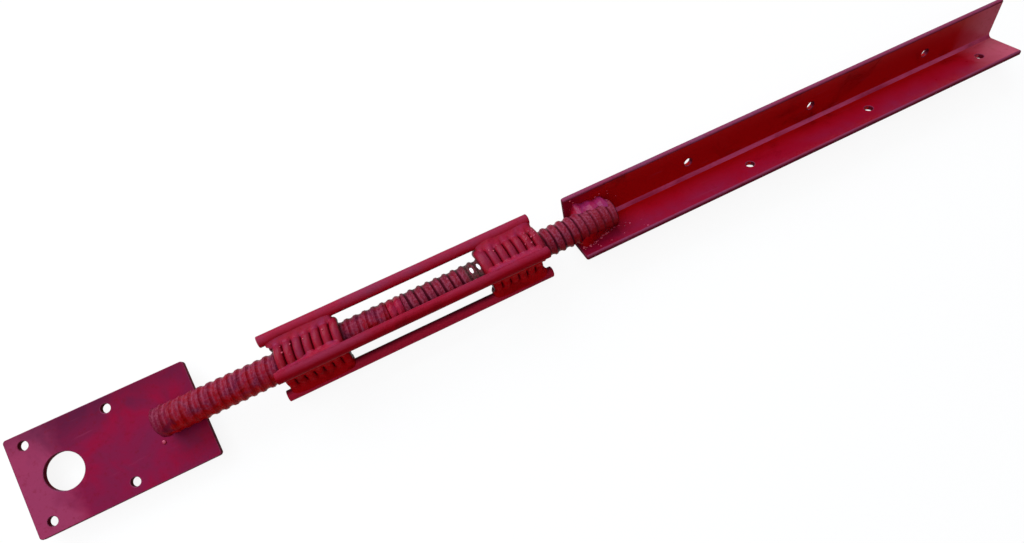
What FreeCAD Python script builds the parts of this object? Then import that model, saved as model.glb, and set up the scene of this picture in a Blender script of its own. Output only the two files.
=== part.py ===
"""Turnbuckle form aligner: a stake plate and a nailing angle on two opposite-hand coil rods.

The rods screw into the wound-wire coil nuts of a four-strut cage.  Millimetres and degrees.
+X runs along the rods from plate to angle, +Z is the plate's upward normal, and the origin is
the middle of the part's base.  Stations are measured along the rods from the plate's outer edge.
"""
import FreeCAD, Part
import math
import os
import re

import Sketcher

Vector = FreeCAD.Vector
X_AXIS = Vector(1, 0, 0)
MINUS = "-"
PLUS = "+"

# Driving dimensions
DIMENSIONS = {
    "overall_length": 708.0,
    "plate_length": 105.5,
    "plate_width": 61.0,
    "plate_thickness": 3.2,
    "plate_corner": 2.0,
    "stake_hole_diameter": 22.2,
    "stake_hole_inset": 24.5,
    "nail_hole_diameter": 5.6,
    "plate_nail_inset": 9.5,
    "plate_nail_pitch": 47.4,
    "plate_nail_gauge": 46.6,
    "rod_diameter": 19.0,
    "rod_chamfer": 0.8,
    "thread_pitch": 5.644,
    "plate_rod_overlap": 21.5,
    "rods_meet_station": 232.3,
    "rods_meet_gap": 0.6,
    "stop_diameter": 19.8,
    "stop_length": 4.2,
    "stop_edge": 0.9,
    "strut_diameter": 7.2,
    "strut_roll": -28.0,
    "strut_chamfer": 0.5,
    "upper_front_station": 156.5,
    "upper_front_length": 172.0,
    "upper_back_station": 153.5,
    "upper_back_length": 174.0,
    "lower_back_station": 152.5,
    "lower_back_length": 178.0,
    "lower_front_station": 152.5,
    "lower_front_length": 178.0,
    "wire_diameter": 5.2,
    "nut_bore": 19.9,
    "left_nut_station": 155.0,
    "left_nut_turns": 6.92,
    "right_nut_station": 288.4,
    "right_nut_turns": 6.38,
    "bead_radius": 1.7,
    "bead_proud": 0.8,
    "bead_taper": 0.9,
    "bead_inset": 2.5,
    "end_weld_sink": 0.9,
    "plate_weld_radius": 2.2,
    "plate_weld_length": 18.0,
    "angle_station": 352.5,
    "angle_leg": 30.0,
    "angle_thickness": 3.2,
    "angle_root_radius": 3.0,
    "angle_toe_radius": 1.4,
    "angle_corner": 1.5,
    "angle_roll": -33.0,
    "angle_rod_overlap": 29.0,
    "angle_nail_gauge_back": 15.1,
    "angle_nail_gauge_front": 17.3,
    "angle_nail_pitch": 98.9,
    "angle_nail_first_back": 92.6,
    "angle_nail_first_front": 132.4,
    "angle_weld_radius": 3.2,
    "angle_weld_length": 22.0,
    "angle_weld_inset": 4.0,
}

# Lengths worked out from the driving dimensions, as expressions
STRUT_CIRCLE = "(nut_bore/2 + wire_diameter + strut_diameter/2)"
AXIS_HEIGHT = f"({STRUT_CIRCLE}*cos(strut_roll*1deg) + strut_diameter/2)"
BEAD_CIRCLE = "(nut_bore/2 + wire_diameter + bead_proud)"
BEAD_TO_STRUT = "(strut_diameter/2 + bead_proud)"
BEAD_SPREAD = (
    f"acos(({BEAD_CIRCLE}^2 + {STRUT_CIRCLE}^2 - {BEAD_TO_STRUT}^2)/(2*{BEAD_CIRCLE}*{STRUT_CIRCLE}))"
)

# Places around the cage, as turns from the strut nearest the camera
STRUTS = {"upper_front": 0, "upper_back": 90, "lower_back": 180, "lower_front": -90}

# Facets of the wound wire
WIRE_SIDES = 8
CHORDS_PER_TURN = 24

doc = FreeCAD.newDocument("turnbuckle_form_aligner")
sheet = doc.addObject("Spreadsheet::Sheet", "dims")
ALIAS_PATTERN = re.compile(r"\b(" + "|".join(DIMENSIONS) + r")\b")
subparts = []


def fill_sheet():
    for row, (alias, value) in enumerate(DIMENSIONS.items(), 1):
        sheet.set(f"A{row}", alias)
        sheet.set(f"B{row}", str(value))
        sheet.setAlias(f"B{row}", alias)
    doc.recompute()


def bind(target, path, text):
    """Drive one property by an expression on the sheet's aliases."""
    target.setExpression(path, ALIAS_PATTERN.sub(r"dims.\1", text))


def new_body(name):
    return doc.addObject("PartDesign::Body", name)


def attach(feature, body, plane_role):
    plane = next(f for f in body.Origin.OriginFeatures if f.Role == plane_role)
    feature.AttachmentSupport = (plane, [""])
    feature.MapMode = "FlatFace"


def new_sketch(body, plane_role, name):
    sketch = body.newObject("Sketcher::SketchObject", name)
    attach(sketch, body, plane_role)
    return sketch


def pin_point(sketch, geometry, point, x_text, y_text):
    """Hold one point of a sketch at two driven distances from the sketch's origin."""
    for kind, text in (("DistanceX", x_text), ("DistanceY", y_text)):
        index = sketch.addConstraint(Sketcher.Constraint(kind, -1, 1, geometry, point, 1.0))
        bind(sketch, f"Constraints[{index}]", text)


def draw_polygon(sketch, corners):
    count = len(corners)
    turns = [2*math.pi*k/count for k in range(count)]
    loose = [Vector(math.cos(t), math.sin(t), 0) for t in turns]
    for k in range(count):
        sketch.addGeometry(Part.LineSegment(loose[k], loose[(k + 1) % count]))
    for k in range(count):
        sketch.addConstraint(Sketcher.Constraint("Coincident", k, 2, (k + 1) % count, 1))
    for k, (x_text, y_text) in enumerate(corners):
        pin_point(sketch, k, 1, x_text, y_text)


def draw_circles(sketch, circles):
    for k, (x_text, y_text, diameter_text) in enumerate(circles):
        sketch.addGeometry(Part.Circle(Vector(k, 0, 0), Vector(0, 0, 1), 1.0))
        pin_point(sketch, k, 3, x_text, y_text)
        index = sketch.addConstraint(Sketcher.Constraint("Diameter", k, 2.0))
        bind(sketch, f"Constraints[{index}]", diameter_text)


def pad(body, sketch, length_text):
    feature = body.newObject("PartDesign::Pad", "pad")
    feature.Profile = sketch
    bind(feature, "Length", length_text)
    doc.recompute()
    return feature


def cut_holes(body, sketch, depth_text, along_normal=False):
    """Pocket a sketch's circles on one side of its plane, and check that they cut."""
    before = body.Shape.Volume
    feature = body.newObject("PartDesign::Pocket", "holes")
    feature.Profile = sketch
    feature.Reversed = along_normal
    bind(feature, "Length", depth_text)
    doc.recompute()
    if not body.Shape.Volume < before:
        raise RuntimeError(f"{body.Name}: the holes cut nothing")


def dress_edges(body, kind, base, size_path, size_text, chosen):
    """Fillet or chamfer the edges of a feature that the test picks out."""
    feature = body.newObject(f"PartDesign::{kind}", kind.lower())
    names = [f"Edge{i}" for i, edge in enumerate(base.Shape.Edges, 1) if chosen(edge)]
    feature.Base = (base, names)
    bind(feature, size_path, size_text)
    doc.recompute()
    return feature


def is_along(edge, direction):
    if not isinstance(edge.Curve, Part.Line):
        return False
    return abs(edge.Curve.Direction.dot(direction)) > 0.99


def is_near(edge, y, z, tolerance=0.01):
    centre = edge.CenterOfMass
    return abs(centre.y - y) < tolerance and abs(centre.z - z) < tolerance


def is_corner(edge, toe_reach):
    """A short straight edge across a leg's toe, at either end of the angle."""
    if is_along(edge, Vector(0, 0, 1)):
        return abs(edge.CenterOfMass.y - toe_reach) < 0.01
    if is_along(edge, Vector(0, 1, 0)):
        return abs(edge.CenterOfMass.z + toe_reach) < 0.01
    return False


def place_at_station(target, station_text, y_text, z_text):
    bind(target, "Placement.Base.x", f"{station_text} - overall_length/2")
    bind(target, "Placement.Base.y", y_text)
    bind(target, "Placement.Base.z", f"{AXIS_HEIGHT} + {z_text}")


def place_on_circle(target, station_text, radius_text, turn_text):
    """Put a piece beside the rods' axis, its turn measured from +Z towards +Y."""
    place_at_station(target, station_text, f"{radius_text}*sin({turn_text})", f"{radius_text}*cos({turn_text})")


def keep(target, label):
    target.Label = label
    subparts.append(target)


def round_bar(name, diameter_text, length_text, edge_text):
    """A round bar along X with its two ends broken by a chamfer."""
    body = new_body(name)
    sketch = new_sketch(body, "YZ_Plane", "section")
    draw_circles(sketch, [("0", "0", diameter_text)])
    base = pad(body, sketch, length_text)
    dress_edges(body, "Chamfer", base, "Size", edge_text, lambda e: isinstance(e.Curve, Part.Circle))
    return body


def weld_bead(name, length_text, radius_text, taper_text):
    """An eight-sided bead along X that tapers in at both ends."""
    body = new_body(name)
    bead = body.newObject("PartDesign::AdditivePrism", "bead")
    attach(bead, body, "YZ_Plane")
    bead.Polygon = 8
    bind(bead, "Circumradius", radius_text)
    bind(bead, "Height", length_text)
    doc.recompute()
    dress_edges(body, "Chamfer", bead, "Size", taper_text, lambda e: not is_along(e, X_AXIS))
    return body


def stake_plate():
    body = new_body("stake_plate")
    outline = new_sketch(body, "XY_Plane", "outline")
    draw_polygon(outline, [
        ("0", "-plate_width/2"),
        ("plate_length", "-plate_width/2"),
        ("plate_length", "plate_width/2"),
        ("0", "plate_width/2"),
    ])
    base = pad(body, outline, "plate_thickness")
    dress_edges(body, "Fillet", base, "Radius", "plate_corner", lambda e: is_along(e, Vector(0, 0, 1)))
    holes = new_sketch(body, "XY_Plane", "hole_layout")
    nails = [
        (f"plate_nail_inset + {row}*plate_nail_pitch", f"{side}plate_nail_gauge/2", "nail_hole_diameter")
        for row in (0, 1)
        for side in (MINUS, PLUS)
    ]
    draw_circles(holes, [("stake_hole_inset", "0", "stake_hole_diameter"), *nails])
    cut_holes(body, holes, "plate_thickness", along_normal=True)
    place_at_station(body, "0", "0", "(-rod_diameter/2 - plate_thickness)")
    keep(body, "stake_plate")


def angle_iron():
    """Equal angle drawn square to the axes, its inner faces touching the rod, then rolled."""
    body = new_body("angle_iron")
    section = new_sketch(body, "YZ_Plane", "section")
    inner = "rod_diameter/2"
    outer = "(rod_diameter/2 + angle_thickness)"
    toe = f"({outer} - angle_leg)"
    draw_polygon(section, [
        (outer, f"-{outer}"),
        (outer, f"-{toe}"),
        (inner, f"-{toe}"),
        (inner, f"-{inner}"),
        (toe, f"-{inner}"),
        (toe, f"-{outer}"),
    ])
    base = pad(body, section, "overall_length - angle_station")
    inner_face = DIMENSIONS["rod_diameter"]/2
    toe_reach = inner_face + DIMENSIONS["angle_thickness"] - DIMENSIONS["angle_leg"]
    root = dress_edges(
        body, "Fillet", base, "Radius", "angle_root_radius",
        lambda e: is_along(e, X_AXIS) and is_near(e, inner_face, -inner_face))
    toes = dress_edges(
        body, "Fillet", root, "Radius", "angle_toe_radius",
        lambda e: is_along(e, X_AXIS)
        and (is_near(e, inner_face, -toe_reach) or is_near(e, toe_reach, -inner_face)))
    dress_edges(body, "Fillet", toes, "Radius", "angle_corner", lambda e: is_corner(e, toe_reach))
    # nail holes along the middle of each leg: through the flat leg, then through the upright leg
    flat = new_sketch(body, "XY_Plane", "flat_leg_holes")
    upright = new_sketch(body, "XZ_Plane", "upright_leg_holes")
    flat_row = [
        (f"angle_nail_first_front + {k}*angle_nail_pitch", f"{outer} - angle_nail_gauge_front", "nail_hole_diameter")
        for k in range(3)
    ]
    upright_row = [
        (f"angle_nail_first_back + {k}*angle_nail_pitch", f"angle_nail_gauge_back - {outer}", "nail_hole_diameter")
        for k in range(3)
    ]
    draw_circles(flat, flat_row)
    draw_circles(upright, upright_row)
    cut_holes(body, flat, outer)
    cut_holes(body, upright, outer)
    body.Placement.Rotation = FreeCAD.Rotation(X_AXIS, 1)
    bind(body, "Placement.Rotation.Angle", "angle_roll*1deg")
    place_at_station(body, "angle_station", "0", "0")
    keep(body, "angle_iron")


def rods():
    plate_start = "(plate_length - plate_rod_overlap)"
    plate_stop = "(rods_meet_station - rods_meet_gap/2 - stop_length)"
    angle_stop = "(rods_meet_station + rods_meet_gap/2)"
    angle_start = f"({angle_stop} + stop_length)"
    angle_end = "(angle_station + angle_rod_overlap)"
    spans = {
        "plate_rod": (plate_start, f"{plate_stop} - {plate_start}", "rod_diameter", "rod_chamfer"),
        "plate_rod_stop": (plate_stop, "stop_length", "stop_diameter", "stop_edge"),
        "angle_rod_stop": (angle_stop, "stop_length", "stop_diameter", "stop_edge"),
        "angle_rod": (angle_start, f"{angle_end} - {angle_start}", "rod_diameter", "rod_chamfer"),
    }
    for label, (station, length, diameter, edge) in spans.items():
        bar = round_bar(label, diameter, length, edge)
        place_at_station(bar, station, "0", "0")
        keep(bar, label)


def struts():
    for place, turn in STRUTS.items():
        label = f"strut_{place}"
        bar = round_bar(label, "strut_diameter", f"{place}_length", "strut_chamfer")
        place_on_circle(bar, f"{place}_station", STRUT_CIRCLE, f"(strut_roll*1deg + {turn}deg)")
        keep(bar, label)


def flat_face(points):
    return Part.Face(Part.makePolygon([*points, points[0]]))


def wound_wire(hand, turns):
    """A wire wound edge to edge in mitred chords of a helix, from the sheet's sizes.

    Every chord is a prism, so its sides are flat: a section is carried along each chord
    to the plane that halves the bend to the next one.
    """
    wire_radius = float(sheet.wire_diameter)/2
    mean_radius = float(sheet.nut_bore)/2 + wire_radius
    step = 2*math.pi/CHORDS_PER_TURN
    count = round(turns*CHORDS_PER_TURN)
    advance = float(sheet.thread_pitch)/CHORDS_PER_TURN
    stations = [
        Vector(wire_radius + i*advance, mean_radius*math.cos(i*step), hand*mean_radius*math.sin(i*step))
        for i in range(count + 1)
    ]
    chords = [(b - a).normalize() for a, b in zip(stations, stations[1:])]
    radial = Vector(0, stations[0].y, stations[0].z).normalize()
    corners = []
    for k in range(WIRE_SIDES):
        turn = 2*math.pi*k/WIRE_SIDES
        corners.append(stations[0] + (radial*math.cos(turn) + X_AXIS*math.sin(turn))*wire_radius)
    faces = [flat_face(corners)]
    for i, chord in enumerate(chords):
        following = chords[i + 1] if i + 1 < count else chord
        normal = (chord + following).normalize()
        target = stations[i + 1]
        carried = [c + chord*((target - c).dot(normal)/chord.dot(normal)) for c in corners]
        for k in range(WIRE_SIDES):
            faces.append(flat_face([corners[k - 1], corners[k], carried[k], carried[k - 1]]))
        corners = carried
    faces.append(flat_face(corners))
    shell = Part.Shell(faces)
    shell.sewShape()
    solid = Part.Solid(shell)
    if solid.Volume < 0:
        solid.reverse()
    return solid


def coil_nuts():
    for side, hand in (("left", -1), ("right", 1)):
        label = f"{side}_coil_nut"
        nut = doc.addObject("Part::Feature", label)
        nut.Shape = wound_wire(hand, float(sheet.get(f"{side}_nut_turns")))
        place_at_station(nut, f"{side}_nut_station", "0", "0")
        keep(nut, label)


def nut_welds():
    """A bead in each crevice between a strut and a nut, the two beside one strut sharing a node."""
    for side in ("left", "right"):
        length = f"({side}_nut_turns*thread_pitch + wire_diameter - 2*bead_inset)"
        for place, turn in STRUTS.items():
            label = f"{side}_nut_welds_{place}"
            pair = []
            for sign in (MINUS, PLUS):
                bead = weld_bead(f"{label}_bead", length, "bead_radius", "bead_taper")
                angle = f"(strut_roll*1deg + {turn}deg {sign} {BEAD_SPREAD})"
                place_on_circle(bead, f"({side}_nut_station + bead_inset)", BEAD_CIRCLE, angle)
                pair.append(bead)
            node = doc.addObject("Part::Compound", label)
            node.Links = pair
            keep(node, label)


def end_welds():
    """Beads along the rods where they lie on the plate and in the angle."""
    on_plate = "180deg"
    # the angle's flat leg is square below the rod before the roll, its upright leg square behind it
    on_flat_leg = "(180deg - angle_roll*1deg)"
    on_upright_leg = "(90deg - angle_roll*1deg)"
    runs = {
        "plate_weld_front": ("plate", "(plate_length - plate_weld_length - 0.5)", on_plate, PLUS),
        "plate_weld_back": ("plate", "(plate_length - plate_weld_length - 0.5)", on_plate, MINUS),
        "angle_weld_front": ("angle", "(angle_station + angle_weld_inset)", on_flat_leg, PLUS),
        "angle_weld_back": ("angle", "(angle_station + angle_weld_inset)", on_upright_leg, MINUS),
    }
    for label, (carrier, station, facing, side) in runs.items():
        radius = f"{carrier}_weld_radius"
        rise = f"({radius} - end_weld_sink)"
        circle = f"(rod_diameter/2 + {rise})"
        spread = f"acos((rod_diameter/2 - {rise})/{circle})"
        bead = weld_bead(label, f"{carrier}_weld_length", radius, "end_weld_sink")
        place_on_circle(bead, station, circle, f"({facing} {side} {spread})")
        keep(bead, label)


def check_model():
    doc.recompute()
    failed = [o.Label for o in doc.Objects if {"Invalid", "Error"} & set(o.State)]
    if failed:
        raise RuntimeError(f"not computed: {failed}")
    for part in subparts:
        if part.Shape.isNull() or not part.Shape.isValid():
            raise RuntimeError(f"{part.Label}: the shape is null or not valid")


def write_parts():
    os.makedirs("parts", exist_ok=True)
    for part in subparts:
        part.Shape.exportStep(f"parts/{part.Label}.step")


fill_sheet()
stake_plate()
angle_iron()
rods()
struts()
coil_nuts()
nut_welds()
end_welds()
check_model()
write_parts()
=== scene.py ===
"""Looks of the turnbuckle form aligner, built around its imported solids.  Metres, +X along the rods."""
import math
import random

import bmesh
import bpy
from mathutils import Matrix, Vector, noise


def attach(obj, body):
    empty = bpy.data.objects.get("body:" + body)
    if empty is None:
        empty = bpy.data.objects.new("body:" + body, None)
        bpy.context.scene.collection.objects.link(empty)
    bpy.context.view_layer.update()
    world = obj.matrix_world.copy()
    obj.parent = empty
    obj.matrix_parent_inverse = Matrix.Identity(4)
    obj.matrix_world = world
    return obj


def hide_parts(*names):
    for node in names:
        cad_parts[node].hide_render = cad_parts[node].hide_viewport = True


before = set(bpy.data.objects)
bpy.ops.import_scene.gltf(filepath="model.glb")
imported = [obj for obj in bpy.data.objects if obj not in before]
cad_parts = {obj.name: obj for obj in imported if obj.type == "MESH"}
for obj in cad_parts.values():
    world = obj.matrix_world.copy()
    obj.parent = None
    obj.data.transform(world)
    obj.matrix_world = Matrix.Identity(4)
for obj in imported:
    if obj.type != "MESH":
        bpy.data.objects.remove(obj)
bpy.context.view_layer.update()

MM = 0.001
TAU = 2*math.pi

# Sizes of the solids in millimetres, with stations measured from the plate's outer edge
HALF_LENGTH = 354.0
AXIS_HEIGHT = 20.155
PITCH = 5.644
CREST_RADIUS = 9.5
WIRE_RADIUS = 2.6
BORE_RADIUS = 9.95
NUT_RADIUS = BORE_RADIUS + 2*WIRE_RADIUS
STRUT_RADIUS = 3.6
STRUT_CIRCLE = NUT_RADIUS + STRUT_RADIUS
NUTS = {
    "left": {"start": 155.0, "turns": 6.92, "hand": -1, "first_turn_spread": 0.0},
    "right": {"start": 288.4, "turns": 6.38, "hand": 1, "first_turn_spread": 2.0},
}
PLATE_STOP = (227.8, 232.28)
ANGLE_STOP = (232.32, 236.8)
ANGLE_START = 352.5
PLATE_TOP = AXIS_HEIGHT - CREST_RADIUS

# The angle's roll about the axis and the turn that its hollow side faces, in degrees, and its toes' reach
# from the axis
ANGLE_ROLL = -33.0
ROOT_TURN = -45 - ANGLE_ROLL
TOE_REACH = 16.8

# Struts by the turn around the axis in degrees, from +Z towards +Y, and the first and last station
STRUTS = {
    "upper_front": (-28, 156.5, 328.5),
    "upper_back": (62, 153.5, 327.5),
    "lower_back": (152, 152.5, 330.5),
    "lower_front": (-118, 152.5, 330.5),
}

# Coil threads: crest is the station of one crest at CREST_TURN, filled the share of the depth that paint and
# weld leave along a rod, and worn lists places rubbed bare, the strongest with painted glints, as station,
# turn, length along the rod, width in degrees and strength
CREST_TURN = 77.3
RODS = {
    "plate_rod": {
        "span": (84.0, 227.8), "hand": 1, "crest": 118.17, "depth": 0.75, "land": 0.24, "lumps": 0.26,
        "filled": [(106, 0.75), (114, 1.0)],
        "worn": [],
    },
    "angle_rod": {
        "span": (236.8, 381.5), "hand": -1, "crest": 238.19, "depth": 1.0, "land": 0.2, "lumps": 0.1,
        "filled": [(350, 1.0), (360, 0.5)],
        # The two spots of strength 1.0 carry white painted glints
        "worn": [(283.5, 20, 6, 150, 0.7), (287.4, 20, 1.6, 28, 1.0), (282.6, 15.6, 1.5, 24, 1.0)],
    },
}


def direction(turn):
    """The unit vector away from the axis at a turn."""
    angle = math.radians(turn)
    return Vector((0, math.sin(angle), math.cos(angle)))


def at(station, radius, turn):
    """A point beside the rods' axis, in metres."""
    return (Vector((station - HALF_LENGTH, 0, AXIS_HEIGHT)) + direction(turn)*radius)*MM


def waver(station, turn, scale, seed=0.0):
    """Smooth noise between -1 and 1 over the surface of a round bar."""
    angle = math.radians(turn)
    return noise.noise(Vector((station*scale, 3*math.cos(angle) + seed, 3*math.sin(angle) - seed)))


def ease(value, points):
    """Straight runs through (place, level) points, held level beyond both ends."""
    if value <= points[0][0]:
        return points[0][1]
    for (a, low), (b, high) in zip(points, points[1:]):
        if value <= b:
            return low + (high - low)*(value - a)/(b - a)
    return points[-1][1]


def tube_mesh(name, tubes, marks=None):
    """One mesh of closed tubes, each a list of rings; marks holds named values for every ring point."""
    points = []
    faces = []
    values = {key: [] for key in marks or {}}
    for number, rings in enumerate(tubes):
        base = len(points)
        sides = len(rings[0])
        points.extend(p for ring in rings for p in ring)
        for key in values:
            values[key].extend(v for ring in marks[key][number] for v in ring)
        for i in range(len(rings) - 1):
            for k in range(sides):
                a = base + i*sides + k
                b = base + i*sides + (k + 1) % sides
                faces.append((a, b, b + sides, a + sides))
        for i in (0, len(rings) - 1):
            points.append(sum(rings[i], Vector())/sides)
            hub = len(points) - 1
            for key in values:
                values[key].append(marks[key][number][i][0])
            for k in range(sides):
                faces.append((base + i*sides + k, base + i*sides + (k + 1) % sides, hub))
    mesh = bpy.data.meshes.new(name)
    mesh.from_pydata(points, [], faces)
    for key, column in values.items():
        mesh.attributes.new(key, "FLOAT", "POINT").data.foreach_set("value", column)
    settle(mesh)
    return mesh


def settle(mesh, sharp=50):
    """Outward faces, smooth shading and crisp edges where faces meet at more than the given angle."""
    shape = bmesh.new()
    shape.from_mesh(mesh)
    bmesh.ops.recalc_face_normals(shape, faces=shape.faces)
    shape.to_mesh(mesh)
    shape.free()
    mesh.polygons.foreach_set("use_smooth", [True]*len(mesh.polygons))
    mesh.set_sharp_from_angle(angle=math.radians(sharp))


def add_piece(name, mesh, body, materials, replaced=()):
    """A piece of the scene that rides on a body and takes the place of the named solids."""
    piece = bpy.data.objects.new(name, mesh)
    bpy.context.scene.collection.objects.link(piece)
    for material in materials:
        mesh.materials.append(material)
    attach(piece, body)
    if replaced:
        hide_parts(*replaced)
    return piece


# Threaded rods: points around and rings to a turn of the thread, the curve of its hollow and the sink of its
# land, the rounding of the rod's ends, the wear of the crests, and waves a millimetre of the lumps
ROD_SIDES = 72
RINGS_PER_TURN = 22
HOLLOW_CURVE = 2.2
LAND_SINK = 0.08
ROD_END_LENGTH = 1.2
ROD_END_CURVE = 0.9
CREST_WEAR = 0.05
COARSE_WAVES = 0.2
FINE_WAVES = 0.6


def thread_rise(phase, land):
    """Height over the root, 0 to 1: a wide hollow, then a narrow land with a lip along both its edges."""
    away = abs((phase % 1.0) - 0.5)*2
    flank = 1 - land
    if away < flank:
        return (away/flank)**HOLLOW_CURVE
    return 1 - LAND_SINK*((away - flank)/land)**2


def bare_and_glint_level(station, turn, spot):
    """How far the paint is worn off, 0 to 1, falling away from the middle of a spot; past 0.85 a painted
    glint.
    """
    centre, middle_turn, length, width, strength = spot
    around = (turn - middle_turn + 180) % 360 - 180
    away = math.hypot((station - centre + around*PITCH/360)/length, around/width)
    return strength*max(0.0, min(1.0, 1.6 - 1.2*away))


def threaded_rod(node, body, look):
    """A rod with its coil thread, marked with the thread's height, its worn-off paint and its painted glints.
    """
    rod = RODS[node]
    start, end = rod["span"]
    count = round((end - start)/PITCH*RINGS_PER_TURN)
    rings = []
    marks = {"crest": [], "bare_and_glint": []}
    for i in range(count + 1):
        station = start + (end - start)*i/count
        from_end = min(station - start, end - station)
        inset = ROD_END_CURVE*max(0.0, ROD_END_LENGTH - from_end)**2
        depth = rod["depth"]*ease(station, rod["filled"])
        ring = []
        rises = []
        wear = []
        for k in range(ROD_SIDES):
            turn = 360*k/ROD_SIDES
            crest = rod["crest"] + rod["hand"]*PITCH*(turn - CREST_TURN)/360
            rise = thread_rise((station - crest)/PITCH, rod["land"])
            fine = waver(station, turn, FINE_WAVES, 7.0)
            lump = rod["lumps"]*(waver(station, turn, COARSE_WAVES) + 0.5*fine)
            radius = CREST_RADIUS - CREST_WEAR - depth*(1 - rise) + min(0.0, lump) - inset
            ring.append(at(station, radius, turn))
            rises.append(rise)
            wear.append(max((bare_and_glint_level(station, turn, spot) for spot in rod["worn"]), default=0.0))
        rings.append(ring)
        marks["crest"].append(rises)
        marks["bare_and_glint"].append(wear)
    name = f"{node}_thread"
    mesh = tube_mesh(name, [rings], {key: [column] for key, column in marks.items()})
    add_piece(name, mesh, body, [look], [node])


# Radius of the stops at shares of their length, the number of steps along it, and the size of their lumps
STOP_PROFILE = [(0.0, 8.5), (0.15, 8.95), (0.35, 9.3), (0.5, 9.4), (0.65, 9.3), (0.85, 8.95), (1.0, 8.5)]
STOP_STEPS = 28
STOP_LUMPS = 0.28
STOP_SHRINK = 0.18


def stop_ring(name, span, seed, body, node):
    """A button of weld on the rod's inner end: a lumpy ring, rounded over at both faces."""
    start, end = span
    rings = []
    for i in range(STOP_STEPS + 1):
        share = i/STOP_STEPS
        ring = []
        for k in range(ROD_SIDES):
            turn = 360*k/ROD_SIDES
            lump = STOP_LUMPS*waver(share*4 + seed, turn, 0.5, seed) - STOP_SHRINK
            ring.append(at(start + (end - start)*share, ease(share, STOP_PROFILE) + lump, turn))
        rings.append(ring)
    add_piece(name, tube_mesh(name, [rings]), body, [STOP_LOOK], [node])


# Wound nuts: how much wider than thick the wire lies, what it gains of that at each step from an end, and how
# blunt its ends are at steps from the end
WIRE_SIDES = 24
WIRE_STEPS_PER_TURN = 60
WIRE_LUMPS = 0.025
WIRE_FLATTENING = 1.09
FLATTENING_STEP = 0.02
BLUNT_END = [(0, 0.72), (1, 0.93), (2, 1.0)]

# Where in the first turn, in turns, the wire is fat with weld, and the share of that which sets it outwards
FAT_TURN = [(0.02, 0.2), (0.08, 1.0), (0.3, 1.0), (0.42, 0.0)]
FAT_SHIFT = 0.3


def wound_nut(side):
    """Wire wound edge to edge, with blunt ends and, on one nut, a first turn left fat with weld."""
    nut = NUTS[side]
    steps = int(nut["turns"]*WIRE_STEPS_PER_TURN)
    mean = BORE_RADIUS + WIRE_RADIUS
    rings = []
    for i in range(steps + 1):
        turned = nut["turns"]*i/steps
        angle = TAU*turned
        spread = nut["first_turn_spread"]*ease(turned, FAT_TURN)
        station = nut["start"] + WIRE_RADIUS + PITCH*turned - spread*FAT_SHIFT
        radial = Vector((0, math.cos(angle), nut["hand"]*math.sin(angle)))
        centre = Vector((station - HALF_LENGTH, 0, AXIS_HEIGHT)) + radial*mean
        from_end = min(i, steps - i)
        blunt = ease(from_end, BLUNT_END)
        lump = 1 + WIRE_LUMPS*noise.noise(Vector((station*0.3, radial.y*5, radial.z*5)))
        flattening = min(WIRE_FLATTENING, 1 + FLATTENING_STEP*from_end) + spread/(2*WIRE_RADIUS)
        ring = []
        for k in range(WIRE_SIDES):
            roll = TAU*k/WIRE_SIDES
            across = Vector((1, 0, 0))*math.sin(roll)*flattening
            ring.append((centre + (radial*math.cos(roll) + across)*WIRE_RADIUS*blunt*lump)*MM)
        rings.append(ring)
    name = f"{side}_nut_wire"
    mesh = tube_mesh(name, [rings])
    mark_panel(mesh)
    add_piece(name, mesh, "turnbuckle", [COIL_LOOK, PANEL_LOOK], [f"{side}_coil_nut"])


def mark_panel(mesh):
    """Give the second look to the faces between the two front struts."""
    low, high = STRUTS["lower_front"][0], STRUTS["upper_front"][0]
    for face in mesh.polygons:
        away = face.center - at(0, 0, 0)
        face.material_index = int(low < math.degrees(math.atan2(away.y, away.z)) < high)


def groove_depth(nut, station, turn):
    """How far the wound wire's surface lies below the nut's outside."""
    turned = (station - nut["start"] - WIRE_RADIUS)/PITCH - nut["hand"]*(90 - turn)/360
    off_centre = abs(turned - round(turned))*PITCH/WIRE_FLATTENING
    return WIRE_RADIUS - math.sqrt(max(0.0, WIRE_RADIUS**2 - off_centre**2))


# Struts: how far the surface is drawn in at places from an end, the tilt of the cut and the length over which
# it fades, and the height, waves a millimetre and depth of the uneven paint
BAR_SIDES = 40
BAR_STEP = 1.6
BAR_END = [(0.0, 0.5), (0.12, 0.22), (0.4, 0.0)]
BAR_LEAN = 0.3
BAR_LEAN_LENGTH = 4
BAR_LUMPS = 0.05
BAR_WAVES = 0.08
BAR_SHRINK = 0.03


def strut_bar(place):
    """A cropped round bar with slightly uneven paint and a tilted cut at each end."""
    turn, start, end = STRUTS[place]
    length = end - start
    middle = at(0, STRUT_CIRCLE, turn)
    count = round(length/BAR_STEP)
    rounded = [offset for offset, _ in BAR_END]
    even = [rounded[-1] + (length - 2*rounded[-1])*i/count for i in range(1, count)]
    rings = []
    for offset in rounded + even + [length - near for near in reversed(rounded)]:
        from_end = min(offset, length - offset)
        inset = ease(from_end, BAR_END)
        ring = []
        for k in range(BAR_SIDES):
            roll = TAU*k/BAR_SIDES
            uneven = BAR_LUMPS*waver(start + offset, 360*k/BAR_SIDES, BAR_WAVES, turn) - BAR_SHRINK
            radius = (STRUT_RADIUS - inset + uneven)*MM
            lean = BAR_LEAN*math.cos(roll)*max(0.0, 1 - from_end/BAR_LEAN_LENGTH)
            across = Vector((0, radius*math.sin(roll), radius*math.cos(roll)))
            ring.append(Vector(((start + offset + lean - HALF_LENGTH)*MM, middle.y, middle.z)) + across)
        rings.append(ring)
    add_piece(f"bar_{place}", tube_mesh(f"bar_{place}", [rings]), "turnbuckle",
              [BAR_LOOKS[place]], [f"strut_{place}"])


# Weld beads: points across one, distance between its rings, and how it closes at rings from an end
BEAD_ARC = 11
BEAD_STEP = 0.5
BEAD_CLOSING = [(0, 0.2), (1, 0.5), (3, 0.82), (6, 1.0)]

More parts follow.
